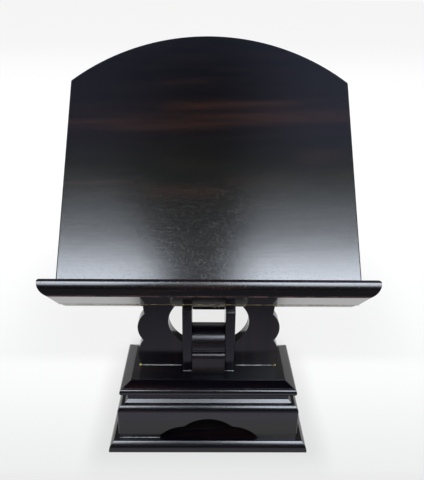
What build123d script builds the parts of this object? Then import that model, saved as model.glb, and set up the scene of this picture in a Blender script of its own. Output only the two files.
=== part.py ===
from build123d import *
from math import cos, radians, sin, tan
import os

# Small tilted book stand in dark wood.
# Lengths are in millimetres. X runs to the reader's right, Y away from the reader, Z up.
# The origin lies on the table, under the middle of the base.

# Base footprint and the frame that it stands on
base_width = 91.0
base_depth = 48.2
plinth_height = 5.0
plinth_wall = 10.0
plinth_round_run = 2.2
plinth_round_drop = 4.0
plinth_round_radius = 6.4
bottom_board_thickness = 3.0

# Hollow body of the base
body_setback = 4.3
body_height = 17.4
body_wall = 5.0
shoulder_run = 1.7
shoulder_drop = 3.27
shoulder_radius = 4.0
corner_block_leg = 7.0

# Three-lobed cut-out in the front and back of the body
arch_half_width = 23.3
arch_height = 10.8
middle_lobe_half_width = 11.0
middle_lobe_rise = 4.3
side_lobe_bulge = 1.5

# Neck board between the body and the top plate
neck_setback = 4.35
neck_height = 4.8
neck_foot_chamfer = 1.4

# Top plate with its round nose, bevel and raised middle
plate_overhang = 3.1
nose_height = 3.8
nose_flat = 0.1
nose_quirk = 1.3
bevel_height = 1.8
bevel_run = 3.5
field_height = 0.4
field_margin = 0.4

# Column: two posts with a rolled block between them
post_thickness = 4.4
post_gap = 15.0
post_depth = 14.4
post_front_height = 30.7
block_depth = 19.5
block_step_height = 11.2
block_step_radius = 3.0
roll_radius = 7.7
roll_height = 12.8

# Scalloped wings beside the column
wing_thickness = 5.7
wing_foot_half_width = 31.0
lobe_height = 13.9
lobe_lean = 0.97
lower_lobe_bulge = 2.1
middle_lobe_bulge = 2.9
upper_lobe_bulge = 1.1
window_half_width = 18.35
window_half_height = 14.3
window_height = 23.8

# Tilted board with an arched head
board_tilt = 39.0
board_width = 134.6
board_thickness = 6.0
board_side_height = 101.9
board_arch_rise = 25.6
board_foot_radius = 4.5
board_head_radius = 1.0
board_arris = 0.6
mitre_reveal = 3.1

# Ledge that carries the book
ledge_width = 138.0
ledge_depth = 21.8
ledge_thickness = 7.0
ledge_front_run = 2.7
ledge_end_run = 4.6
ledge_arris = 1.4
ledge_land = 0.1

# Lug on the back of the board, which enters the column
lug_thickness = 9.0
lug_length = 62.0
lug_clearance = 0.1
lug_end_chamfer = 5.0

# Hidden dowels and screws
dowel_diameter = 3.0
dowel_in_board = 4.0
dowel_in_ledge = 8.0
dowel_spacing = 36.0
dowel_count = 4
screw_diameter = 3.0
screw_head_diameter = 5.6
screw_head_height = 1.6
screw_length = 21.0
screw_point = 3.0
screw_slot_width = 0.8
screw_slot_depth = 0.7
screw_spacing = 10.0
fit_clearance = 0.1

# Soft edges that the maker sands on every piece
arris = 0.4
body_corner_flat = 0.4

# Levels and widths that follow from the sizes above
body_bottom = plinth_height
body_top = body_bottom + body_height
neck_top = body_top + neck_height
plate_height = nose_height + bevel_height + field_height
plate_top = neck_top + plate_height
body_width = base_width - 2 * body_setback
body_depth = base_depth - 2 * body_setback
neck_width = body_width - 2 * neck_setback
neck_depth = body_depth - 2 * neck_setback
plate_width = neck_width + 2 * plate_overhang
plate_depth = neck_depth + 2 * plate_overhang
column_half_width = post_gap / 2 + post_thickness

# Place of the board: its back rests on the sloped tops of the posts
tilt = radians(board_tilt)
foot_back_y = -post_depth / 2 + mitre_reveal * sin(tilt)
foot_back_z = plate_top + post_front_height + mitre_reveal * cos(tilt)
seat_y = foot_back_y - board_thickness * cos(tilt) + ledge_thickness * sin(tilt)
seat_z = foot_back_z + board_thickness * sin(tilt) + ledge_thickness * cos(tilt)
board_face = Plane(origin=(0, seat_y, seat_z), x_dir=(1, 0, 0), z_dir=(0, -cos(tilt), sin(tilt)))
board_back = board_face.offset(-board_thickness)
far = 4 * board_width


def box(width, depth, height, bottom=0.0):
    """A plain block centred over the origin, from the level given."""
    return Pos(0, 0, bottom) * Box(width, depth, height, align=(Align.CENTER, Align.CENTER, Align.MIN))


def moulded_tier(width, depth, section):
    """A rectangular tier whose four edges all have the same moulding.

    section draws the upright outline of the tier for the half width that it is given.
    """
    lengthways = extrude(Plane.XZ * section(width / 2), amount=depth, both=True)
    crossways = extrude(Plane.YZ * section(depth / 2), amount=width, both=True)
    return lengthways & crossways


def upright(half_width, height, bottom=0.0):
    """A rectangle that stands on the given level."""
    return Pos(0, bottom) * Rectangle(2 * half_width, height, align=(Align.CENTER, Align.MIN))


def rounded_top(sketch, radius):
    """The sketch with its upper corners rounded."""
    return fillet(sketch.vertices().group_by(Axis.Y)[-1], radius)


def thumb_moulded(half_width, height, bottom, run, drop, radius):
    """Upright outline with a flat on top, then a corner, then a shallow round down to each side."""
    top = bottom + height
    outline = Curve() + [
        Line((0, top), (half_width - run, top)),
        RadiusArc((half_width - run, top), (half_width, top - drop), radius),
        Line((half_width, top - drop), (half_width, bottom)),
        Line((half_width, bottom), (0, bottom)),
        Line((0, bottom), (0, top)),
    ]
    right_half = make_face(outline)
    return right_half + mirror(right_half, Plane.YZ)


def mitred_sides(ring, width, depth, wall):
    """Cuts a rectangular ring at its corners into four mitred lengths."""
    x, y = width / 2, depth / 2
    outer = [(-x, -y), (x, -y), (x, y), (-x, y)]
    inner = [(-x + wall, -y + wall), (x - wall, -y + wall), (x - wall, y - wall), (-x + wall, y - wall)]
    sides = {}
    for number, name in enumerate(("front", "right", "back", "left")):
        following = (number + 1) % 4
        plan = Polygon(outer[number], outer[following], inner[following], inner[number], align=None)
        sides[name] = ring & extrude(plan, amount=far)
    return sides


def plinth_sides():
    """Four lengths of thumb moulding, mitred into a frame."""
    def section(half):
        return thumb_moulded(half, plinth_height, 0, plinth_round_run, plinth_round_drop, plinth_round_radius)
    tier = moulded_tier(base_width, base_depth, section)
    ring = tier - box(base_width - 2 * plinth_wall, base_depth - 2 * plinth_wall, plinth_height)
    return mitred_sides(ring, base_width, base_depth, plinth_wall)


def bottom_board():
    """Thin board that closes the frame, flush with its underside."""
    width = base_width - 2 * plinth_wall - 2 * fit_clearance
    depth = base_depth - 2 * plinth_wall - 2 * fit_clearance
    return box(width, depth, bottom_board_thickness)


def arch_cut():
    """The three-lobed opening, as a prism that passes through a body side."""
    shoulder = arch_height - middle_lobe_rise
    left_end, right_end = (-arch_half_width, 0), (arch_half_width, 0)
    left_cusp, right_cusp = (-middle_lobe_half_width, shoulder), (middle_lobe_half_width, shoulder)
    outline = Curve() + [
        SagittaArc(left_end, left_cusp, side_lobe_bulge),
        SagittaArc(left_cusp, right_cusp, middle_lobe_rise),
        SagittaArc(right_cusp, right_end, side_lobe_bulge),
        Line(right_end, left_end),
    ]
    return Pos(0, 0, body_bottom) * extrude(Plane.XZ * make_face(outline), amount=body_wall, both=True)


def body_sides():
    """Four panels with a rounded shoulder, mitred at the corners of the base."""
    def section(half):
        return thumb_moulded(half, body_height, body_bottom, shoulder_run, shoulder_drop, shoulder_radius)
    tier = moulded_tier(body_width, body_depth, section)
    ring = tier - box(body_width - 2 * body_wall, body_depth - 2 * body_wall, body_height, body_bottom)
    lengths = mitred_sides(ring, body_width, body_depth, body_wall)
    plan = chamfer(Rectangle(body_width, body_depth).vertices(), body_corner_flat)
    sides = {name: length & extrude(plan, amount=body_top) for name, length in lengths.items()}
    middle = body_depth / 2 - body_wall / 2
    sides["front"] = sides["front"] - Pos(0, -middle, 0) * arch_cut()
    sides["back"] = sides["back"] - Pos(0, middle, 0) * arch_cut()
    return sides


def corner_blocks():
    """Four three-cornered glue blocks inside the body."""
    x = body_width / 2 - body_wall
    y = body_depth / 2 - body_wall
    corner = Polygon((x, y), (x - corner_block_leg, y), (x, y - corner_block_leg), align=None)
    first = Pos(0, 0, body_bottom) * extrude(corner, amount=body_height)
    beside = mirror(first, Plane.YZ)
    return [first, beside, mirror(first, Plane.XZ), mirror(beside, Plane.XZ)]


def screw_places():
    """Points under the neck board where the two screws go up into the block."""
    return [Pos(0, side * screw_spacing / 2, body_top) for side in (-1, 1)]


def screw(clearance=0.0):
    """A countersunk screw that stands head down, or the hole that it needs."""
    shank_radius = screw_diameter / 2 + clearance
    head_radius = screw_head_diameter / 2 + clearance
    length = screw_length + clearance
    profile = Polygon(
        (0, 0),
        (head_radius, 0),
        (shank_radius, screw_head_height),
        (shank_radius, length - screw_point),
        (0, length),
        align=None,
    )
    return revolve(Plane.XZ * profile, Axis.Z)


def column_screws():
    """Two slotted wood screws."""
    slot = box(screw_head_diameter, screw_slot_width, screw_slot_depth)
    return [place * (screw() - slot) for place in screw_places()]


def drilled(part):
    """The part with the two screw holes through it."""
    for place in screw_places():
        part = part - place * screw(fit_clearance)
    return part


def neck_board():
    """Recessed board with a chamfered foot."""
    def section(half):
        foot = half + neck_foot_chamfer
        outline = Polyline(
            (-foot, 0),
            (foot, 0),
            (half, neck_foot_chamfer),
            (half, neck_height),
            (-half, neck_height),
            (-half, neck_foot_chamfer),
            close=True,
        )
        return Pos(0, body_top) * make_face(outline)
    return drilled(moulded_tier(neck_width, neck_depth, section))


def top_plate():
    """Moulded plate: round nose, low bevel and a slightly raised middle."""
    def section(half):
        nose = fillet(upright(half, nose_height).vertices(), (nose_height - nose_flat) / 2)
        bevel_top = nose_height + bevel_height
        bevel_foot = half - nose_quirk
        bevel_head = bevel_foot - bevel_run
        bevel = make_face(Polyline(
            (-bevel_foot, nose_height),
            (bevel_foot, nose_height),
            (bevel_head, bevel_top),
            (-bevel_head, bevel_top),
            close=True,
        ))
        field = upright(bevel_head - field_margin, plate_height)
        return Pos(0, neck_top) * (nose + bevel + field)
    return drilled(moulded_tier(plate_width, plate_depth, section))


def in_front_of_board_back():
    """Everything on the reader's side of the board's back."""
    return extrude(board_back * Rectangle(far, far), amount=far)


def post():
    """Upright cheek of the column, mitred at the top to the slope of the board."""
    upright_part = box(post_thickness, post_depth, board_width, plate_top)
    upright_part = fillet(upright_part.edges().filter_by(Axis.Z), arris)
    return upright_part - in_front_of_board_back()


def centre_block():
    """Stepped block with a roll along its top, between the posts."""
    step = rounded_top(upright(block_depth / 2, block_step_height), block_step_radius)
    roll = Pos(0, roll_height) * Circle(roll_radius)
    solid = extrude(Plane.YZ * (step + roll), amount=post_gap / 2, both=True)
    return drilled(Pos(0, 0, plate_top) * solid)


def wing():
    """Right-hand wing: scalloped outside, round window inside, mitred to the board."""
    foot = (wing_foot_half_width, 0)
    lower_cusp = (wing_foot_half_width - lobe_lean, lobe_height)
    upper_cusp = (wing_foot_half_width - 2 * lobe_lean, 2 * lobe_height)
    top = foot_back_z - plate_top + (wing_thickness / 2 - foot_back_y) / tan(tilt)
    outside_top = (wing_foot_half_width - 3 * lobe_lean, top)
    inside_top = (column_half_width, top)
    outline = Curve() + [
        Line((column_half_width, 0), foot),
        SagittaArc(foot, lower_cusp, -lower_lobe_bulge),
        SagittaArc(lower_cusp, upper_cusp, -middle_lobe_bulge),
        SagittaArc(upper_cusp, outside_top, -upper_lobe_bulge),
        Line(outside_top, inside_top),
        Line(inside_top, (column_half_width, 0)),
    ]
    window = Pos(0, window_height) * Ellipse(window_half_width, window_half_height)
    face = make_face(outline) - window
    solid = extrude(Plane.XZ * face, amount=wing_thickness / 2, both=True)
    solid = Pos(0, 0, plate_top) * solid - in_front_of_board_back()
    curved_edges = solid.edges().filter_by(GeomType.LINE, reverse=True)
    return fillet(curved_edges, arris)


def dowel_places():
    """Points on the joint between board and ledge where the dowels cross it."""
    first = -(dowel_count - 1) / 2
    return [Pos((first + number) * dowel_spacing, -ledge_thickness / 2) for number in range(dowel_count)]


def dowel(clearance=0.0):
    """One dowel in the board's frame, or the hole that it needs."""
    length = dowel_in_board + dowel_in_ledge + 2 * clearance
    pin = Cylinder(dowel_diameter / 2 + clearance, length, align=(Align.CENTER, Align.CENTER, Align.MIN))
    return Pos(0, 0, -dowel_in_board - clearance) * pin


def ledge_dowels():
    """Four short dowels in a row."""
    return [board_face * place * dowel() for place in dowel_places()]


def pegged(part):
    """The part with a hole for each dowel."""
    for place in dowel_places():
        part = part - board_face * place * dowel(fit_clearance)
    return part


def reading_board():
    """Flat board with an arched head and rounded lower corners."""
    x = board_width / 2
    apex = board_side_height + board_arch_rise
    outline = Curve() + [
        Line((-x, -ledge_thickness), (x, -ledge_thickness)),
        Line((x, -ledge_thickness), (x, board_side_height)),
        ThreePointArc((x, board_side_height), (0, apex), (-x, board_side_height)),
        Line((-x, board_side_height), (-x, -ledge_thickness)),
    ]
    face = make_face(outline)
    corners = face.vertices().group_by(Axis.Y)
    face = fillet(corners[0], board_foot_radius)
    face = fillet(face.vertices().group_by(Axis.Y)[-1], board_head_radius)
    solid = extrude(face, amount=-board_thickness)
    solid = fillet(solid.edges().filter_by(Axis.Z, reverse=True), board_arris)
    return pegged(board_face * solid)


def thumb_edge(reach, run):
    """The ledge's section out to the given reach: an arris above, then a round down to a lip."""
    round_top = -ledge_arris - ledge_land
    outline = Curve() + [
        Line((0, 0), (reach, 0)),
        Line((reach, 0), (reach, round_top)),
        TangentArc((reach, round_top), (reach - run, -ledge_thickness), tangent=(0, -1)),
        Line((reach - run, -ledge_thickness), (0, -ledge_thickness)),
        Line((0, -ledge_thickness), (0, 0)),
    ]
    section = make_face(outline)
    upper_corner = section.vertices().group_by(Axis.X)[-1].sort_by(Axis.Y)[-1]
    return fillet(upper_corner, ledge_arris)


def book_ledge():
    """Ledge with a thumb-moulded front and ends, glued to the face of the board."""
    end = thumb_edge(ledge_width / 2, ledge_end_run)
    ends = extrude(end + mirror(end, Plane.YZ), amount=ledge_depth, dir=(0, 0, 1))
    across = Plane(origin=(0, 0, 0), x_dir=(0, 0, 1), z_dir=(-1, 0, 0))
    front = extrude(across * thumb_edge(ledge_depth, ledge_front_run), amount=ledge_width, both=True)
    return pegged(board_face * (ends & front))


def board_lug():
    """Block on the back of the board, a close fit between the posts."""
    middle = Pos(0, lug_length / 2 - ledge_thickness)
    outline = middle * Rectangle(post_gap - 2 * lug_clearance, lug_length)
    solid = extrude(outline, amount=-lug_thickness)
    upper_end = solid.edges().group_by(Axis.Y)[-1].sort_by(Axis.Z)[0]
    return board_back * chamfer(upper_end, lug_end_chamfer)


def parts():
    """Every piece, under the name of its file."""
    pieces = {
        "reading_board": reading_board(),
        "book_ledge": book_ledge(),
        "ledge_dowels": ledge_dowels(),
        "board_lug": board_lug(),
        "centre_block": centre_block(),
        "top_plate": top_plate(),
        "neck_board": neck_board(),
        "bottom_board": bottom_board(),
        "corner_blocks": corner_blocks(),
        "column_screws": column_screws(),
    }
    post_place = post_gap / 2 + post_thickness / 2
    pieces["left_post"] = Pos(-post_place, 0, 0) * post()
    pieces["right_post"] = Pos(post_place, 0, 0) * post()
    pieces["right_wing"] = wing()
    pieces["left_wing"] = mirror(wing(), Plane.YZ)
    for side, piece in body_sides().items():
        pieces["body_" + side] = piece
    for side, piece in plinth_sides().items():
        pieces["plinth_" + side] = piece
    return pieces


os.makedirs("parts", exist_ok=True)
for name, piece in parts().items():
    if isinstance(piece, list):
        piece = Compound(children=piece)
    export_step(piece, f"parts/{name}.step")
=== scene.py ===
import bpy
from math import acos, asin, ceil, copysign, cos, hypot, radians, sin, sqrt, tan
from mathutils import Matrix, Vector


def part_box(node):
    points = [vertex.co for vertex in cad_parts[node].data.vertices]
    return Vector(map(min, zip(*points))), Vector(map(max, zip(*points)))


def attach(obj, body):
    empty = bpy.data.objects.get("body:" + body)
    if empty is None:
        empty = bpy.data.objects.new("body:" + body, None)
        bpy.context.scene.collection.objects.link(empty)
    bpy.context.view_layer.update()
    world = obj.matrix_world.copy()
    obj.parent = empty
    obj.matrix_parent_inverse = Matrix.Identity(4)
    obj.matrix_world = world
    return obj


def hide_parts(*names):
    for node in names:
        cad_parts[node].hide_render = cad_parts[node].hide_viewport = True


# A small tilted book stand in black lacquered wood, put together from the floor up.
# Lengths are in metres: X to the reader's right, Y away from the reader, Z up.
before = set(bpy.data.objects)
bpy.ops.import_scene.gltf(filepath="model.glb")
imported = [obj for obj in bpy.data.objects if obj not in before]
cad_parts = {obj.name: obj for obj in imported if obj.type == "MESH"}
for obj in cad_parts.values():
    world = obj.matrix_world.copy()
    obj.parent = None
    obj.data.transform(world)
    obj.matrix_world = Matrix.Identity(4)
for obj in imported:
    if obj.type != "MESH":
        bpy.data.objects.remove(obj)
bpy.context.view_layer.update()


# The plinth: four lengths of thumb moulding in black-stained hardwood,
# mitred at the corners and glued up into a frame that stands on the table.
class Shade:
    """A shader socket that takes part in ordinary sums, each of which adds a Math node."""

    def __init__(self, tree, socket):
        self.tree, self.socket = tree, socket

    def node(self, kind, settings=None, output=0, **inputs):
        """Adds a node of the given kind and returns one of its outputs.

        An input goes by its name, or by i and its number where the names repeat.
        """
        made = self.tree.nodes.new(kind)
        for name, value in (settings or {}).items():
            setattr(made, name, value)
        for name, value in inputs.items():
            socket = made.inputs[int(name[1:])] if name[1:].isdigit() else made.inputs[name.replace("_", " ")]
            if isinstance(value, Shade):
                self.tree.links.new(value.socket, socket)
            else:
                socket.default_value = value
        return Shade(self.tree, made.outputs[output])

    def sum(self, operation, other, swap=False):
        """This and the other, which comes first after a swap, put through one operation."""
        pair = (other, self) if swap else (self, other)
        return self.node("ShaderNodeMath", {"operation": operation}, i0=pair[0], i1=pair[1])

    def __add__(self, other):
        return self.sum("ADD", other)

    def __sub__(self, other):
        return self.sum("SUBTRACT", other)

    def __rsub__(self, other):
        return self.sum("SUBTRACT", other, swap=True)

    def __mul__(self, other):
        return self.sum("MULTIPLY", other)

    def __truediv__(self, other):
        return self.sum("DIVIDE", other)

    def __rtruediv__(self, other):
        return self.sum("DIVIDE", other, swap=True)

    __radd__, __rmul__ = __add__, __mul__

    def bell(self, centre, half_width):
        """1 at the centre, falling off smoothly to nearly 0 at twice the half width."""
        off = (self - centre) / half_width
        return 1 / (1 + off * off * off * off)

    def between(self, low, high):
        """0 below low, 1 above high, and smooth between them."""
        return self.node("ShaderNodeMapRange", {"interpolation_type": "SMOOTHSTEP"},
                         Value=self, From_Min=low, From_Max=high)

    def noise(self, scale, detail=2.0, rough=0.5):
        """Cloudy noise from 0 to 1 at this place, with features of about 1 / scale metres."""
        return self.node("ShaderNodeTexNoise", Vector=self, Scale=scale, Detail=detail, Roughness=rough)

    def mix(self, low, high):
        """The colour low where this is 0 and high where it is 1."""
        low, high = [(*colour, 1.0) if isinstance(colour, tuple) else colour for colour in (low, high)]
        return self.node("ShaderNodeMix", {"data_type": "RGBA"}, output=2, i0=self, i6=low, i7=high)

    def reach(self, axis):
        """How far this place lies along one axis."""
        return self.node("ShaderNodeSeparateXYZ", output=axis, Vector=self)

    def turned(self, turn, origin=(0, 0, 0)):
        """This place as it is measured from the origin, along axes with the given turn."""
        return self.node("ShaderNodeMapping", {"vector_type": "TEXTURE"},
                         Vector=self, Location=origin, Rotation=turn)

    def drawn_out(self, stretch):
        """This place with its X drawn out, so that a pattern on it runs long in the grain."""
        return self.node("ShaderNodeMapping", Vector=self, Scale=(1 / stretch, 1, 1))


GRAIN_ALONG = {"X": (0, 0, 0), "Y": (0, 0, radians(90)), "Z": (0, radians(90), 0)}
HARDWOOD_STRETCH = 14.0


def new_finish(name):
    """A new material, its shader, and the place on the piece that it colours."""
    material = bpy.data.materials.new(name)
    material.use_nodes = True
    tree = material.node_tree
    here = Shade(tree, None).node("ShaderNodeTexCoord", output="Object")
    return material, tree.nodes["Principled BSDF"], here


def lacquer(shader, colour, sheen, height, depth=0.00002):
    """Sets the surface: its colour, its roughness from sheen, and height as relief of the given depth."""
    tree = colour.tree
    bump = height.node("ShaderNodeBump", Height=height, Distance=depth, Strength=1.0)
    tree.links.new(colour.socket, shader.inputs["Base Color"])
    tree.links.new(sheen.socket, shader.inputs["Roughness"])
    tree.links.new(bump.socket, shader.inputs["Normal"])
    shader.inputs["IOR"].default_value = 1.5


def black_wood(grain, shift=0.0, roughness=0.12, bare_from=None):
    """Near-black stained hardwood with a faint reddish-brown figure, under satin-gloss lacquer.

    The shift picks another stretch of the figure. Behind the Y of bare_from, if one is given, the stain
    has no lacquer on it.
    """
    material, shader, here = new_finish("black wood along " + grain)
    drawn = here.turned(GRAIN_ALONG[grain]).drawn_out(HARDWOOD_STRETCH)
    moved = drawn.node("ShaderNodeVectorMath", {"operation": "ADD"}, i0=drawn, i1=(shift, shift, shift))
    figure = moved.noise(190.0, 4.0, 0.62).between(0.46, 0.70)
    fine = moved.noise(1300.0, 2.0).between(0.35, 0.75)
    black, reddish_brown = (0.0008, 0.0009, 0.0022), (0.0085, 0.0037, 0.0033)
    colour = (figure * 0.75 + fine * 0.25).mix(black, reddish_brown)
    specks = here.noise(1500.0, 1.0).between(0.60, 0.75)
    sheen = roughness + 0.03 * here.noise(260.0, 3.0) + 0.05 * specks
    if bare_from is not None:
        lacquer_fade = 0.003
        sheen = sheen + 0.6 * here.reach("Y").between(bare_from, bare_from + lacquer_fade)
    ripples, pores, fibres = here.noise(110.0, 1.0), here.noise(900.0, 1.0), moved.noise(900.0, 1.0)
    lacquer(shader, colour, sheen, pores * 0.12 + ripples * 0.8 + fibres * 0.1)
    return material


def draw_outline(name, start, strokes, depth, arc_step=radians(9)):
    """Draws a closed outline in the XZ plane, fills it and pushes it to both sides of the plane by depth / 2.

    A stroke is the next point and the bulge of the way to it: 0 is straight, above 0 an arc to the left.
    """
    bpy.ops.object.select_all(action="DESELECT")
    bpy.ops.mesh.primitive_plane_add(size=0.001, location=(0, 0, 0))
    piece = bpy.context.object
    piece.name = piece.data.name = name
    bpy.ops.object.mode_set(mode="EDIT")
    bpy.ops.mesh.select_all(action="SELECT")
    bpy.ops.mesh.merge(type="CENTER")
    bpy.ops.transform.translate(value=(start[0], -depth / 2, start[1]))
    x, z = start
    for next_x, next_z, bulge in strokes:
        along_x, along_z = next_x - x, next_z - z
        if bulge:
            chord = hypot(along_x, along_z)
            radius = (chord * chord / 4 + bulge * bulge) / (2 * abs(bulge))
            reach = copysign(radius - abs(bulge), bulge)
            centre = ((x + next_x) / 2 + along_z / chord * reach, -depth / 2,
                      (z + next_z) / 2 - along_x / chord * reach)
            turn = 2 * asin(min(1.0, chord / (2 * radius)))
            bpy.ops.mesh.spin(steps=max(2, ceil(turn / arc_step)), angle=-copysign(turn, bulge),
                              center=centre, axis=(0, 1, 0))
        else:
            bpy.ops.mesh.extrude_vertices_move(TRANSFORM_OT_translate={"value": (along_x, 0, along_z)})
        x, z = next_x, next_z
    bpy.ops.mesh.select_all(action="SELECT")
    bpy.ops.mesh.remove_doubles(threshold=1e-6)
    bpy.ops.mesh.edge_face_add()
    bpy.ops.mesh.extrude_region_move(TRANSFORM_OT_translate={"value": (0, depth, 0)})
    bpy.ops.mesh.select_all(action="SELECT")
    bpy.ops.mesh.normals_make_consistent(inside=False)
    bpy.ops.object.mode_set(mode="OBJECT")
    return piece


def only(piece):
    """Makes the piece the one that operators act on."""
    bpy.ops.object.select_all(action="DESELECT")
    piece.select_set(True)
    bpy.context.view_layer.objects.active = piece


def place(piece, turn=(0, 0, 0), move=(0, 0, 0)):
    """Turns and moves the piece, and keeps that in its mesh."""
    only(piece)
    piece.rotation_euler, piece.location = turn, move
    bpy.ops.object.transform_apply(location=True, rotation=True, scale=True)
    return piece


def cut(piece, point, outward):
    """Saws off what lies outward of the point and closes the cut."""
    only(piece)
    bpy.ops.object.mode_set(mode="EDIT")
    bpy.ops.mesh.select_all(action="SELECT")
    bpy.ops.mesh.bisect(plane_co=point, plane_no=outward, use_fill=True, clear_outer=True)
    bpy.ops.object.mode_set(mode="OBJECT")


def arc(start, end, radius):
    """How far an arc of the given radius bulges from the straight way between two points."""
    half = hypot(end[0] - start[0], end[1] - start[1]) / 2
    return radius - sqrt(radius ** 2 - half ** 2)


def sand(piece, arris):
    """Takes off every sharp arris, and shades flats flat and rounds smooth."""
    only(piece)
    bevel = piece.modifiers.new("arris", "BEVEL")
    bevel.width, bevel.segments, bevel.angle_limit = arris, 3, radians(28)
    bevel.use_clamp_overlap = True
    bpy.ops.object.modifier_apply(modifier=bevel.name)
    bpy.ops.object.shade_smooth_by_angle(angle=radians(35))
    evened = piece.modifiers.new("evened", "WEIGHTED_NORMAL")
    evened.weight, evened.keep_sharp = 100, True
    bpy.ops.object.modifier_apply(modifier=evened.name)


def settle(piece, node, material):
    """Hands the finished piece to its body, in the place of its node."""
    piece.data.materials.clear()
    piece.data.materials.append(material)
    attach(piece, "root")
    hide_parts(node)


SIDES = {"right": 0, "back": 1, "left": 2, "front": 3}


def mitred_length(name, side, outward, length, strokes):
    """One length of a four-sided frame. Its section is drawn from its outer foot, and its ends are mitred."""
    start = (outward, strokes[-1][1])
    piece = draw_outline(name, start, strokes, length)
    for end in (-1, 1):
        cut(piece, (outward, end * length / 2, 0), (-1, end, 0))
    return place(piece, (0, 0, SIDES[side] * radians(90)))


black_along_x = black_wood("X", roughness=0.17)
black_along_y = black_wood("Y", shift=0.31)
black_along_z = black_wood("Z", shift=0.57)
plinth_low, plinth_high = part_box("plinth_front")
plinth_wall = plinth_high.y - plinth_low.y
thumb_run, thumb_drop, thumb_radius = 0.0022, 0.004, 0.0064
for side in SIDES:
    lengthways = side in ("front", "back")
    outward, half_length = (-plinth_low.y, plinth_high.x) if lengthways else (plinth_high.x, -plinth_low.y)
    section = [(outward, plinth_high.z - thumb_drop, 0),
               (outward - thumb_run, plinth_high.z, -arc((0, 0), (thumb_run, thumb_drop), thumb_radius)),
               (outward - plinth_wall, plinth_high.z, 0),
               (outward - plinth_wall, 0, 0),
               (outward, 0, 0)]
    moulding = mitred_length(f"{side}_plinth_moulding", side, outward, 2 * half_length, section)
    sand(moulding, arris=0.00018)
    settle(moulding, "plinth_" + side, black_along_x if lengthways else black_along_y)


# The bottom board: thin plywood that closes the plinth frame from below, flush with its underside.
# It is stained black like the rest but not lacquered.
def matt_black_wood():
    """Black-stained wood straight from the saw, with next to no shine."""
    material, shader, here = new_finish("matt black wood")
    fibre = here.turned(GRAIN_ALONG["Z"]).drawn_out(8.0).noise(1500.0, 3.0)
    colour = fibre.mix((0.0006, 0.0006, 0.0009), (0.0040, 0.0020, 0.0016))
    lacquer(shader, colour, 0.6 + 0.2 * fibre, fibre)
    shader.inputs["Specular IOR Level"].default_value = 0.06
    return material


sawn_black = matt_black_wood()
bottom_low, bottom_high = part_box("bottom_board")
bpy.ops.object.select_all(action="DESELECT")
bpy.ops.mesh.primitive_cube_add(size=1, location=(bottom_low + bottom_high) / 2,
                                scale=bottom_high - bottom_low)
underside = bpy.context.object
underside.name = underside.data.name = "bottom_panel"
place(underside, move=underside.location)
sand(underside, arris=0.0003)
settle(underside, "bottom_board", sawn_black)


# The hollow body: four panels of the same wood with a rounded shoulder, mitred like the plinth and
# glued on it. The front and back are sawn out below in three lobes.
def bore(piece, radius, centre, length, ratio=1.0, vertices=96):
    """Bores a round or oval hole through the piece, along Y."""
    bpy.ops.object.select_all(action="DESELECT")
    bpy.ops.mesh.primitive_cylinder_add(vertices=vertices, radius=radius, depth=length, location=centre,
                                        rotation=(radians(90), 0, 0), scale=(1, ratio, 1))
    tool = bpy.context.object
    bpy.ops.object.transform_apply(location=True, rotation=True, scale=True)
    only(piece)
    hole = piece.modifiers.new("hole", "BOOLEAN")
    hole.operation, hole.object, hole.solver = "DIFFERENCE", tool, "EXACT"
    bpy.ops.object.modifier_apply(modifier=hole.name)
    bpy.data.objects.remove(tool)


def break_corners(panel, flat, lengthways):
    """Planes a narrow flat on the upright outer corners that the panel shares with its neighbours."""
    middle = [sum(corner[axis] for corner in panel.bound_box) / 8 for axis in (0, 1)]
    reach = [max(abs(corner[axis]) for corner in panel.bound_box) for axis in (0, 1)]
    for end in (-1, 1):
        signs = (end, copysign(1, middle[1])) if lengthways else (copysign(1, middle[0]), end)
        point = (signs[0] * (reach[0] - flat), signs[1] * reach[1], 0)
        cut(panel, point, (signs[0], signs[1], 0))


body_low, body_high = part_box("body_front")
body_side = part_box("body_right")[1].x
body_wall = body_high.y - body_low.y
shoulder_run, shoulder_drop, shoulder_radius, corner_flat = 0.0017, 0.00327, 0.004, 0.0004
arch_half_width, arch_height = 0.0233, 0.0108
crown_half_width, crown_rise, haunch_bulge = 0.011, 0.0043, 0.0015
spring = arch_height - crown_rise
crown_radius = (crown_half_width ** 2 + crown_rise ** 2) / (2 * crown_rise)
haunch_run = arch_half_width - crown_half_width
haunch_chord = hypot(haunch_run, spring)
haunch_radius = (haunch_chord ** 2 / 4 + haunch_bulge ** 2) / (2 * haunch_bulge)
haunch_reach = (haunch_radius - haunch_bulge) / haunch_chord
haunch_x = crown_half_width + haunch_run / 2 - spring * haunch_reach
haunch_z = spring / 2 - haunch_run * haunch_reach
for side in SIDES:
    lengthways = side in ("front", "back")
    outward, half_length = (-body_low.y, body_side) if lengthways else (body_side, -body_low.y)
    section = [(outward, body_high.z - shoulder_drop, 0),
               (outward - shoulder_run, body_high.z,
                -arc((0, 0), (shoulder_run, shoulder_drop), shoulder_radius)),
               (outward - body_wall, body_high.z, 0),
               (outward - body_wall, body_low.z, 0),
               (outward, body_low.z, 0)]
    panel = mitred_length(f"{side}_body_panel", side, outward, 2 * half_length, section)
    if lengthways:
        middle = body_wall / 2 + body_low.y if side == "front" else -body_low.y - body_wall / 2
        bore(panel, crown_radius, (0, middle, body_low.z + arch_height - crown_radius), 3 * body_wall)
        for end in (-1, 1):
            bore(panel, haunch_radius, (end * haunch_x, middle, body_low.z + haunch_z), 3 * body_wall)
    break_corners(panel, corner_flat, lengthways)
    sand(panel, arris=0.00025)
    settle(panel, "body_" + side, black_along_x if lengthways else black_along_y)


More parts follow.
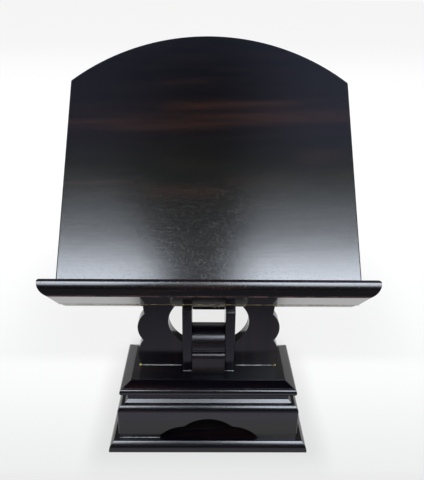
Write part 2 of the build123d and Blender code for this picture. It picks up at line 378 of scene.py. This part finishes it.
# The corner blocks: bare softwood triangles rubbed into the inner corners of the body with glue.
# They keep their own shape, and only their wood is shown here.
def pale_wood(grain):
    """Bare pale softwood with its year rings drawn out along the grain."""
    material, shader, here = new_finish("pale wood along " + grain)
    drawn = here.turned(GRAIN_ALONG[grain]).drawn_out(10.0)
    rings = drawn.noise(420.0, 3.0).between(0.35, 0.65)
    early_wood, late_wood = (0.62, 0.46, 0.29), (0.44, 0.28, 0.15)
    fibre = drawn.noise(3000.0, 2.0)
    lacquer(shader, rings.mix(early_wood, late_wood), 0.6 + 0.15 * fibre, fibre, depth=0.00004)
    return material


def finish_node(name, material):
    """Gives a piece that keeps its own shape its material."""
    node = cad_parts[name]
    node.data.materials.clear()
    node.data.materials.append(material)


finish_node("corner_blocks", pale_wood("Z"))


# The neck board: one solid board with a chamfered foot, set back on top of the body.
# All four edges are worked with the same moulding, so it is shaped ring by ring.
def moulded_board(name, low, high, rings):
    """A board worked along its edges: rings are (inset, height) from the bottom face upwards."""
    size = high - low
    bpy.ops.object.select_all(action="DESELECT")
    bpy.ops.mesh.primitive_plane_add(size=1, location=((low.x + high.x) / 2, (low.y + high.y) / 2, low.z))
    board = bpy.context.object
    board.name = board.data.name = name
    board.scale = (size.x, size.y, 1)
    bpy.ops.object.transform_apply(location=True, rotation=True, scale=True)
    bpy.ops.object.mode_set(mode="EDIT")
    bpy.ops.mesh.select_all(action="SELECT")
    anchor = (low.x + high.x) / 2, (low.y + high.y) / 2
    width, depth, level = size.x, size.y, 0.0
    for number, (inset, height) in enumerate(rings):
        new_width, new_depth = size.x - 2 * inset, size.y - 2 * inset
        if number:
            bpy.ops.mesh.extrude_region_move(TRANSFORM_OT_translate={"value": (0, 0, height - level)})
        bpy.ops.transform.resize(value=(new_width / width, new_depth / depth, 1),
                                 center_override=(*anchor, low.z + height))
        width, depth, level = new_width, new_depth, height
    bpy.ops.mesh.select_all(action="SELECT")
    bpy.ops.mesh.normals_make_consistent(inside=False)
    bpy.ops.object.mode_set(mode="OBJECT")
    return board


neck_low, neck_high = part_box("neck_board")
neck_chamfer = 0.0014
neck_rings = [(0, 0), (neck_chamfer, neck_chamfer), (neck_chamfer, neck_high.z - neck_low.z)]
neck = moulded_board("neck_moulding", neck_low, neck_high, neck_rings)
sand(neck, arris=0.00018)
settle(neck, "neck_board", black_wood("X", shift=0.9, roughness=0.22))


# The top plate: one solid board with a round nose, a low bevel and a slightly raised middle.
# It is glued on the neck board, and the column is glued and screwed on its middle.
def nose_rings(radius, low, steps, rising, turned=radians(90)):
    """Rings round a quarter circle or less: outward and up below, or up and inward above."""
    for step in range(steps + 1):
        angle = turned * step / steps
        if rising:
            yield radius * (1 - sin(angle)), low + radius * (1 - cos(angle))
        else:
            yield radius * (1 - cos(angle)), low + radius * sin(angle)


plate_low, plate_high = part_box("top_plate")
nose_height, quirk, bevel_run, bevel_rise, field_margin = 0.0038, 0.0013, 0.0035, 0.0018, 0.0004
nose_flat = 0.0001
nose_radius = (nose_height - nose_flat) / 2
bevel_head = quirk + bevel_run
to_quirk = acos(1 - quirk / nose_radius)
plate_rings = [*nose_rings(nose_radius, low=0, steps=8, rising=True),
               *nose_rings(nose_radius, nose_height - nose_radius, steps=8, rising=False, turned=to_quirk),
               (quirk, nose_height),
               (bevel_head, nose_height + bevel_rise),
               (bevel_head + field_margin, nose_height + bevel_rise),
               (bevel_head + field_margin, plate_high.z - plate_low.z)]
plate = moulded_board("plate_moulding", plate_low, plate_high, plate_rings)
sand(plate, arris=0.00015)
settle(plate, "top_plate", black_wood("X", shift=1.6, roughness=0.14))


# The column screws: two slotted steel wood screws, driven up from inside the base into the block.
# They keep their own shape.
def screw_steel():
    """Bright drawn steel, finely scuffed."""
    material, shader, here = new_finish("screw steel")
    scuffs = here.noise(2500.0, 3.0)
    colour = scuffs.mix((0.42, 0.42, 0.41), (0.62, 0.62, 0.6))
    lacquer(shader, colour, 0.28 + 0.2 * scuffs, scuffs, depth=0.00001)
    shader.inputs["Metallic"].default_value = 1.0
    return material


finish_node("column_screws", screw_steel())


# The centre block: a stepped block of black wood with a roll worked along its top, glued between the
# posts. Its rounded step stands a little proud of them, and its hidden back has no lacquer.
block_low, block_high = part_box("centre_block")
block_width = block_high.x - block_low.x
step_height, step_radius, roll_radius, roll_height = 0.0112, 0.003, 0.0077, 0.0128
step_reach = block_high.y - step_radius
step_fall = roll_height - step_height + step_radius
centres_apart = hypot(step_reach, step_fall)
toward_step = (roll_radius ** 2 - step_radius ** 2 + centres_apart ** 2) / (2 * centres_apart)
off_line = sqrt(roll_radius ** 2 - toward_step ** 2)
notch_y = (toward_step * step_reach + off_line * step_fall) / centres_apart
notch_z = block_low.z + roll_height - (toward_step * step_fall - off_line * step_reach) / centres_apart
step_foot = block_low.z + step_height - step_radius
roll_top = block_low.z + roll_height + roll_radius
step_bulge = arc((notch_y, notch_z), (block_high.y, step_foot), step_radius)
roll_bulge = arc((0, roll_top), (notch_y, notch_z), roll_radius)
block_strokes = [(block_low.y, step_foot, 0),
                 (-notch_y, notch_z, step_bulge),
                 (0, roll_top, roll_bulge),
                 (notch_y, notch_z, roll_bulge),
                 (block_high.y, step_foot, step_bulge),
                 (block_high.y, block_low.z, 0),
                 (block_low.y, block_low.z, 0)]
block = draw_outline("roll_block", (block_low.y, block_low.z), block_strokes, block_width, radians(5))
place(block, (0, 0, radians(90)))
sand(block, arris=0.0003)
settle(block, "centre_block", black_wood("X", shift=1.17, roughness=0.19, bare_from=-0.001))


# The posts: two thin upright cheeks of black wood, mitred at the top to the lean of the board.
# They stand on the plate and are glued to either side of the block.
tilt = radians(39)
post_low, post_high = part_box("right_post")
post_thickness = post_high.x - post_low.x
post_depth = post_high.y - post_low.y
post_front = post_high.z - post_depth / tan(tilt)
post_strokes = [(post_low.y, post_front, 0),
                (post_high.y, post_high.z, 0),
                (post_high.y, post_low.z, 0),
                (post_low.y, post_low.z, 0)]
for side in ("left", "right"):
    low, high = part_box(side + "_post")
    cheek = draw_outline(side + "_cheek", (post_low.y, post_low.z), post_strokes, post_thickness)
    place(cheek, (0, 0, radians(90)), ((low.x + high.x) / 2, 0, 0))
    sand(cheek, arris=0.0004)
    settle(cheek, side + "_post", black_along_z)


# The wings: flat boards of black wood, sawn in lobes outside and to a round window inside.
# Each is glued to a post and to the plate, and mitred to the back of the board.
foot_reach, cusp_step, cusp_lean = 0.031, 0.0139, 0.00097
lobe_bulges = (0.0021, 0.0029, 0.0011)
window_half_width, window_half_height, window_level = 0.01835, 0.0143, 0.0238
board_back = Vector((0, post_low.y, post_front))
board_normal = Vector((0, -cos(tilt), sin(tilt)))
for side, out in (("left", -1), ("right", 1)):
    low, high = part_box(side + "_wing")
    thickness = high.y - low.y
    inner = min(abs(low.x), abs(high.x))
    strokes = [(out * foot_reach, low.z, 0)]
    for number, bulge in enumerate(lobe_bulges):
        last = number + 1 == len(lobe_bulges)
        level = high.z if last else low.z + (number + 1) * cusp_step
        strokes.append((out * (foot_reach - (number + 1) * cusp_lean), level, -out * bulge))
    strokes += [(out * inner, high.z, 0), (out * inner, low.z, 0)]
    scroll = draw_outline(side + "_scroll", (out * inner, low.z), strokes, thickness, radians(5))
    bore(scroll, window_half_width, (0, 0, low.z + window_level), 3 * thickness,
         ratio=window_half_height / window_half_width, vertices=160)
    cut(scroll, board_back, board_normal)
    sand(scroll, arris=0.00035)
    settle(scroll, side + "_wing", black_along_z)


# The lug: a stout block glued to the back of the board, a close fit between the posts. It is drawn
# in the lean of the board, with its upper end chamfered, and is stained black but not lacquered.
board_thickness, ledge_thickness, mitre_reveal = 0.006, 0.007, 0.0031
board_up = Vector((0, sin(tilt), cos(tilt)))
foot_back = board_back + board_up * mitre_reveal
seat = foot_back + board_normal * board_thickness + board_up * ledge_thickness
lug_low, lug_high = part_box("board_lug")
lug_thickness, lug_length, lug_chamfer = 0.009, 0.062, 0.005
lug_strokes = [(board_thickness, lug_length - ledge_thickness, 0),
               (board_thickness + lug_thickness - lug_chamfer, lug_length - ledge_thickness, 0),
               (board_thickness + lug_thickness, lug_length - ledge_thickness - lug_chamfer, 0),
               (board_thickness + lug_thickness, -ledge_thickness, 0),
               (board_thickness, -ledge_thickness, 0)]
lug = draw_outline("back_lug", (board_thickness, -ledge_thickness), lug_strokes, lug_high.x - lug_low.x)
place(lug, (0, 0, radians(90)))
place(lug, (-tilt, 0, 0), seat)
sand(lug, arris=0.0004)
settle(lug, "board_lug", sawn_black)


# The reading board: one flat board with an arched head, its face polished and its arrises eased,
# glued to the lug and to the mitres of the posts and wings. The streaks of the wood run across it.
def streaked_wood(origin, lean):
    """Black wood with reddish-brown streaks across the board, under satin-gloss lacquer.

    A streak is its height above the ledge, its half thickness, its left and right ends and its strength.
    """
    material, shader, here = new_finish("streaked black wood")
    on_board = here.turned((-lean, 0, 0), origin)
    across, up, drawn = on_board.reach("X"), on_board.reach("Z"), on_board.drawn_out(HARDWOOD_STRETCH)
    wander = (drawn.noise(90.0, 2.0) - 0.5) * 0.010 + (drawn.noise(520.0, 2.0) - 0.5) * 0.0018
    streak_slope, fade_in, fade_out = 0.028, 0.008, 0.006
    height = up + wander - streak_slope * across
    streaks = ((0.1016, 0.0009, -0.024, 0.000, 0.60), (0.0896, 0.0025, -0.020, 0.042, 0.70),
               (0.0806, 0.0031, -0.090, 0.090, 0.80), (0.0503, 0.0012, -0.066, -0.034, 0.80),
               (0.0451, 0.0027, -0.034, 0.008, 0.70), (0.0500, 0.0018, 0.004, 0.036, 0.60),
               (0.0606, 0.0028, 0.040, 0.062, 0.60), (0.0846, 0.0110, -0.090, 0.090, 0.25))
    red = 0.0
    for level, half, left, right, strength in streaks:
        there = (across.between(left - fade_out, left + fade_in)
                 * across.between(right + fade_out, right - fade_in))
        red = red + height.bell(level, half) * there * strength
    fibre = drawn.noise(1500.0, 3.0, 0.6).between(0.30, 0.70)
    figure = drawn.noise(230.0, 4.0, 0.6).between(0.42, 0.72)
    fine = drawn.noise(640.0, 3.0, 0.6).between(0.35, 0.65)
    dark_bands = height.bell(0.0752, 0.0022) + height.bell(0.0955, 0.0022)
    pale = (figure * 0.6 + fine * 0.4) * (1.0 - 0.8 * dark_bands)
    cool = pale.mix((0.0007, 0.0009, 0.0020), (0.0050, 0.0034, 0.0036))
    warm = pale.mix((0.0012, 0.0011, 0.0008), (0.0085, 0.0068, 0.0036))
    ground = up.between(0.080, 0.055).mix(cool, warm)
    broken = (0.4 + 0.6 * fibre) * (0.45 + 0.55 * drawn.noise(300.0, 3.0).between(0.35, 0.6))
    red_brown, dust_and_glint_grey = (0.0245, 0.0100, 0.0058), (0.034, 0.032, 0.017)
    # Pale specks near the foot of the board: partly dust, partly painted glints where the highlight fades.
    grains = here.node("ShaderNodeTexVoronoi", Vector=here, Scale=1050.0).between(0.46, 0.20)
    dust_and_glints = grains * up.between(0.076, 0.035) * (0.75 + 0.25 * here.noise(200.0, 2.0).between(0.35, 0.6))
    colour = (0.34 * dust_and_glints).mix((red * broken).mix(ground, red_brown), dust_and_glint_grey)
    sheen = 0.12 + 0.03 * drawn.noise(700.0, 3.0) + 0.06 * dust_and_glints
    ripples, pores, fibres = here.noise(110.0, 1.0), here.noise(900.0, 1.0), drawn.noise(900.0, 1.0)
    lacquer(shader, colour, sheen, pores * 0.12 + ripples * 0.6 + fibres * 0.15)
    return material


board_half_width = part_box("reading_board")[1].x
side_height, arch_rise, foot_radius = 0.1019, 0.0256, 0.0045
foot_bulge = arc((0, 0), (foot_radius, foot_radius), foot_radius)
board_strokes = [(-board_half_width, side_height, 0),
                 (board_half_width, side_height, arch_rise),
                 (board_half_width, -ledge_thickness + foot_radius, 0),
                 (board_half_width - foot_radius, -ledge_thickness, foot_bulge),
                 (-board_half_width + foot_radius, -ledge_thickness, 0),
                 (-board_half_width, -ledge_thickness + foot_radius, foot_bulge)]
board = draw_outline("arched_board", (-board_half_width, -ledge_thickness + foot_radius), board_strokes,
                     board_thickness, radians(2))
place(board, move=(0, board_thickness / 2, 0))
place(board, (-tilt, 0, 0), seat)
sand(board, arris=0.0006)
settle(board, "reading_board", streaked_wood(seat, tilt))


# The ledge: a strip of black wood glued to the face of the board, with a softened arris above and a
# thumb moulding below it, along the front and both ends. Its sharp lower lip is brown in places: partly
# rubbed to the wood, partly a painted highlight.
def rubbed_wood(origin, lean, lip_depth, lip_level):
    """Finely polished black wood, brown in places along the lip: partly where the lacquer is rubbed through
    to the wood, partly a painted highlight.
    """
    material, shader, here = new_finish("rubbed black wood")
    on_ledge = here.turned((-lean, 0, 0), origin)
    inward, up, drawn = on_ledge.reach("Y"), on_ledge.reach("Z"), on_ledge.drawn_out(HARDWOOD_STRETCH)
    figure = drawn.noise(210.0, 4.0, 0.62).between(0.42, 0.68)
    black, reddish_brown = (0.0012, 0.0009, 0.0012), (0.0125, 0.0044, 0.0033)
    wear_and_highlight_brown = (0.075, 0.030, 0.022)
    lip = up.between(lip_level + 0.0006, lip_level + 0.0002) * inward.between(lip_depth + 0.0003, lip_depth)
    # Brown along the lip: partly wear, partly a painted highlight where the lip catches the light.
    wear_and_highlight = lip * here.noise(150.0, 4.0, 0.7).between(0.38, 0.58)
    dust_and_glints = here.noise(1100.0, 1.0).between(0.62, 0.72)
    sheen = 0.05 + 0.02 * figure + 0.1 * dust_and_glints + 0.13 * up.between(lip_level, lip_level + 0.003)
    ripples, fibres = here.noise(110.0, 1.0), drawn.noise(900.0, 1.0)
    colour = wear_and_highlight.mix(figure.mix(black, reddish_brown), wear_and_highlight_brown)
    lacquer(shader, colour, sheen, ripples * 0.8 + fibres * 0.1)
    return material


ledge_depth, ledge_arris, ledge_side, front_run, end_run = 0.0218, 0.0014, 0.0015, 0.0027, 0.0046
ledge_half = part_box("book_ledge")[1].x
round_drop = ledge_thickness - ledge_side
arris_bulge = arc((0, 0), (ledge_arris, ledge_arris), ledge_arris)
front_bulge, end_bulge = [arc((0, 0), (run, round_drop), (run ** 2 + round_drop ** 2) / (2 * run))
                          for run in (front_run, end_run)]
front_strokes = [(-ledge_depth, -ledge_arris, 0),
                 (ledge_arris - ledge_depth, 0, arris_bulge),
                 (0, 0, 0),
                 (0, -ledge_thickness, 0),
                 (front_run - ledge_depth, -ledge_thickness, 0),
                 (-ledge_depth, -ledge_side, front_bulge)]
shelf = draw_outline("ledge_moulding", (-ledge_depth, -ledge_side), front_strokes, 3 * ledge_half, radians(5))
place(shelf, (0, 0, radians(90)))
end_strokes = [(-ledge_half, -ledge_arris, 0),
               (ledge_arris - ledge_half, 0, arris_bulge),
               (ledge_half - ledge_arris, 0, 0),
               (ledge_half, -ledge_arris, arris_bulge),
               (ledge_half, -ledge_side, 0),
               (ledge_half - end_run, -ledge_thickness, end_bulge),
               (end_run - ledge_half, -ledge_thickness, 0),
               (-ledge_half, -ledge_side, end_bulge)]
both_ends = draw_outline("ledge_ends", (-ledge_half, -ledge_side), end_strokes, 4 * ledge_depth, radians(5))
only(shelf)
shaped = shelf.modifiers.new("shaped", "BOOLEAN")
shaped.operation, shaped.object, shaped.solver = "INTERSECT", both_ends, "EXACT"
bpy.ops.object.modifier_apply(modifier=shaped.name)
bpy.data.objects.remove(both_ends)
place(shelf, (-tilt, 0, 0), seat)
sand(shelf, arris=0.00012)
settle(shelf, "book_ledge", rubbed_wood(seat, tilt, front_run - ledge_depth, -ledge_thickness))


# The ledge dowels: short beech pins hidden across the joint between board and ledge.
# They keep their own shape.
finish_node("ledge_dowels", pale_wood("Y"))


# The glue: thin uneven beads that were pressed out of the joints and dried, amber under the ledge and
# at the outer corners of the wings, pale elsewhere. Each is a string that lies in its corner.
def dried_glue(name, thin, thick):
    """Dried wood glue, from the colour of a thin film to that of a thick drop."""
    material, shader, here = new_finish(name)
    clouds = here.noise(400.0, 3.0).between(0.35, 0.65)
    lacquer(shader, clouds.mix(thin, thick), 0.25 + 0.2 * clouds, clouds)
    return material


pale_glue = dried_glue("pale glue", (0.09, 0.09, 0.09), (0.24, 0.24, 0.22))
amber_glue = dried_glue("amber glue", (0.16, 0.11, 0.03), (0.55, 0.40, 0.13))


def glue_bead(name, start, end, radius, material, shift=0.0):
    """A string of glue between two points, thick and thin in turn along its length and thin at its tips.

    The shift starts the thick and thin places elsewhere, so that no two strings are alike.
    """
    along, tip_size = end - start, 0.3
    steps = max(6, ceil(along.length / (1.5 * radius)))
    turn = along.to_track_quat("Z", "Y").to_euler()
    bpy.ops.object.select_all(action="DESELECT")
    bpy.ops.mesh.primitive_circle_add(vertices=10, radius=tip_size * radius, fill_type="NGON",
                                      location=start, rotation=turn)
    bead = bpy.context.object
    bead.name = bead.data.name = name
    place(bead, turn, start)
    bpy.ops.object.mode_set(mode="EDIT")
    bpy.ops.mesh.select_all(action="SELECT")
    size = tip_size
    for step in range(1, steps + 1):
        share = step / steps
        swell = 0.8 + 0.11 * sin(31 * share + shift) + 0.07 * sin(83 * share + 2.3 * shift)
        taper = min(1.0, tip_size + 4 * radius / along.length + 6 * min(share, 1 - share))
        new_size = tip_size if step == steps else swell * taper
        bpy.ops.mesh.extrude_region_move(TRANSFORM_OT_translate={"value": along / steps})
        bpy.ops.transform.resize(value=(new_size / size,) * 3, center_override=start + along * share)
        size = new_size
    bpy.ops.mesh.select_all(action="SELECT")
    bpy.ops.mesh.normals_make_consistent(inside=False)
    bpy.ops.object.mode_set(mode="OBJECT")
    bpy.ops.object.shade_smooth_by_angle(angle=radians(60))
    bead.data.materials.append(material)
    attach(bead, "root")


def along_x(corner, *reaches):
    """The points that lie so far along X from the corner."""
    return [corner + Vector((reach, 0, 0)) for reach in reaches]


ledge_bead_half, bead_drop = 0.0655, 0.00002
ledge_corner = seat - board_up * (ledge_thickness + bead_drop)
left_end, right_end = along_x(ledge_corner, -ledge_bead_half, ledge_bead_half)
glue_bead("ledge_glue", left_end, right_end, radius=0.00016, material=amber_glue)
lug_corner = foot_back - board_normal * 0.0005 - board_up * 0.00005
lug_drops = [(0.0018, 0.0034), (0.0042, 0.0048)]
for number, (left, right) in enumerate(lug_drops):
    left_end, right_end = along_x(lug_corner, left, right)
    glue_bead(f"lug_glue_{number + 1}", left_end, right_end, radius=0.0003, material=amber_glue, shift=number)
wing_bead_start, wing_bead_ends = 0.0125, {"left": 0.0312, "right": 0.0306}
for side, out in (("left", -1), ("right", 1)):
    wing_corner = Vector((0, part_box(side + "_wing")[0].y - 0.0001, plate_high.z + 0.0001))
    inner, outer = along_x(wing_corner, out * wing_bead_start, out * wing_bead_ends[side])
    glue_bead(side + "_wing_glue", inner, outer, radius=0.00034, material=pale_glue, shift=out)
    drop_end = outer + Vector((out * 0.0012, 0.0002, 0))
    glue_bead(side + "_wing_drop", outer, drop_end, radius=0.0007, material=amber_glue, shift=2)
    low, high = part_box(side + "_post")
    post_corner = Vector((0, low.y - 0.00008, plate_high.z + 0.00008))
    left_end, right_end = along_x(post_corner, low.x, high.x)
    glue_bead(side + "_post_glue", left_end, right_end, radius=0.0003, material=pale_glue, shift=3 + out)
plinth_corner = Vector((0, body_low.y - 0.00005, plinth_high.z + 0.00005))
left_end, right_end = along_x(plinth_corner, -0.041, -0.022)
glue_bead("plinth_glue", left_end, right_end, radius=0.00024, material=pale_glue, shift=1.3)


# The studio: a pale floor that darkens towards the camera, two soft panels high behind the camera with
# a dark gap between them, and a pale room behind the stand. The camera looks down at its front.
def stage_sheet(name, size, glow, tint=(1.0, 1.0, 1.0), paint=0.0):
    """A flat sheet on the XY plane that glows by the glow worked out from its own X and Y."""
    bpy.ops.object.select_all(action="DESELECT")
    bpy.ops.mesh.primitive_plane_add(size=1, location=(0, 0, 0))
    sheet = bpy.context.object
    sheet.name = sheet.data.name = name
    sheet.scale = (*size, 1)
    bpy.ops.object.transform_apply(location=False, rotation=False, scale=True)
    cloth = bpy.data.materials.new(name)
    cloth.use_nodes = True
    shader = cloth.node_tree.nodes["Principled BSDF"]
    spot = Shade(cloth.node_tree, None).node("ShaderNodeTexCoord", output="Object")
    bright = glow(spot.reach("X"), spot.reach("Y"))
    colour = bright.node("ShaderNodeCombineXYZ", X=bright * tint[0], Y=bright * tint[1], Z=bright * tint[2])
    cloth.node_tree.links.new(colour.socket, shader.inputs["Emission Color"])
    shader.inputs["Emission Strength"].default_value = 1.0
    shader.inputs["Base Color"].default_value = (paint, paint, paint, 1)
    shader.inputs["Roughness"].default_value = 0.9
    shader.inputs["Specular IOR Level"].default_value = 0.0
    sheet.data.materials.append(cloth)
    return sheet


def floor_glow(x, y):
    """Brightest behind the stand, with painted soft shadows in its glow round the base, under the board and
    close behind the base.
    """
    aside = x * x
    # Painted shade: these masks darken the floor's glow under the board, round the base and close behind it.
    painted_board_shadow = aside.between(0.023, 0.008) * y.between(0.040, 0.056) * y.between(0.30, 0.12)
    painted_middle_shadow = aside.between(0.0025, 0.0004) * painted_board_shadow
    painted_base_shadow = aside.between(0.0036, 0.0021) * y.between(-0.045, -0.0165) * y.between(0.07, 0.03)
    painted_shadow_behind = aside.between(0.0024, 0.0008) * y.between(0.008, 0.028) * y.between(0.078, 0.046)
    shade = 0.07 * painted_board_shadow + 0.06 * painted_middle_shadow + 0.14 * painted_base_shadow + 0.76 * painted_shadow_behind
    open_floor = 0.77 + 0.14 * y.between(-0.06, 0.05) + 0.06 * y.between(0.05, 0.3)
    return open_floor - 0.08 * y.between(0.6, 2.5) - shade


stage_sheet("studio_floor", (120.0, 120.0), floor_glow, tint=(1.0, 1.0, 0.99), paint=0.07)
mat_size, mat_distance = 6.0, 3.036


def painted_reflection_glow(x, y):
    """Painted reflection: dim far in front of the stand and brighter near it, for the lacquer to mirror."""
    away = y - mat_distance
    return 0.2 + 0.25 * away.between(-0.15, -0.055) + 0.42 * away.between(-0.07, -0.037)


# A glowing sheet hidden from the camera: it paints a dim reflection of the table in front into the lacquer.
mat = stage_sheet("dark_mat", (mat_size, mat_size), painted_reflection_glow, tint=(0.97, 0.98, 1.18))
mat.location = (0, -mat_distance, 0.0001)
mat.visible_camera = False


def soft_panel(side, out, edge, lean_below, lean_above, low_gap, brightness):
    """A glowing panel that faces the stand.

    Its inner edge is so far from the middle of the room at the bend, and leans above and below that. The
    low gap keeps the foot of the edge further back.
    """
    distance, rise, width, height, half_gap = 3.0, radians(37), 1.5, 3.0, 0.05
    bend_level, half_blur, outer_fade = 0.7, 0.11, 0.3

    def panel_glow(x, y):
        """Even in the middle, with a leaning inner edge and a long soft fade above and below."""
        level = y - bend_level
        inner = edge + level.sum("MAXIMUM", 0.0) * lean_above + level.sum("MINIMUM", 0.0) * lean_below
        inside = x * out + width / 2 + half_gap - inner - low_gap * y.between(0.2, -0.1)
        beside = inside.between(-half_blur, half_blur) * (x * out).between(width / 2, width / 2 - outer_fade)
        above = 0.74 * y.between(0.98, 0.7) + 0.21 * y.between(1.5, 0.75)
        below = 0.55 * y.between(-0.55, -0.1) + 0.45 * y.between(0.05, 0.45)
        return 0.12 + brightness * beside * above * below

    panel = stage_sheet(side + "_soft_panel", (width, height), panel_glow, tint=(0.87, 0.94, 1.05))
    panel.rotation_euler = (radians(90) - rise, 0, 0)
    panel.location = (out * (width / 2 + half_gap), -distance * cos(rise), 0.06 + distance * sin(rise))


soft_panel("left", -1, edge=0.26, lean_below=-0.27, lean_above=0.41, low_gap=0.0, brightness=19.6)
soft_panel("right", 1, edge=0.208, lean_below=0.116, lean_above=0.15, low_gap=0.28, brightness=22.0)

room = bpy.data.worlds.new("room")
bpy.context.scene.world = room
room.use_nodes = True
room_shader = room.node_tree.nodes["Background"]
look = Shade(room.node_tree, None).node("ShaderNodeTexCoord", output="Generated")
look_across, look_back, look_up = [look.reach(axis) for axis in "XYZ"]
behind = look_back.between(-0.3, 0.3)
beside = 0.45 * look_across.between(0.0, 0.22) + 0.25 * look_across.between(0.0, -0.22)
overhead = beside * look_up.between(0.6, 0.9) + 0.22 * look_up.between(0.94, 0.97)
ceiling = overhead * look_up.between(1.0, 0.985)
wall = 0.05 + 0.9 * behind * look_up.between(0.8, 0.2)
ceiling_tint = (0.8, 0.93, 1.45)
red, green, blue = [wall + share * ceiling for share in ceiling_tint]
room_colour = look.node("ShaderNodeCombineXYZ", X=red, Y=green, Z=blue)
room.node_tree.links.new(room_colour.socket, room_shader.inputs["Color"])

camera = bpy.data.objects.new("camera", bpy.data.cameras.new("camera"))
bpy.context.scene.collection.objects.link(camera)
camera.data.lens = 41.685
camera.location = (-0.00198, -0.2194, 0.19236)
camera.rotation_euler = (radians(66.369), radians(-0.614), radians(-0.531))
bpy.context.scene.camera = camera
bpy.context.scene.view_settings.view_transform = "Standard"
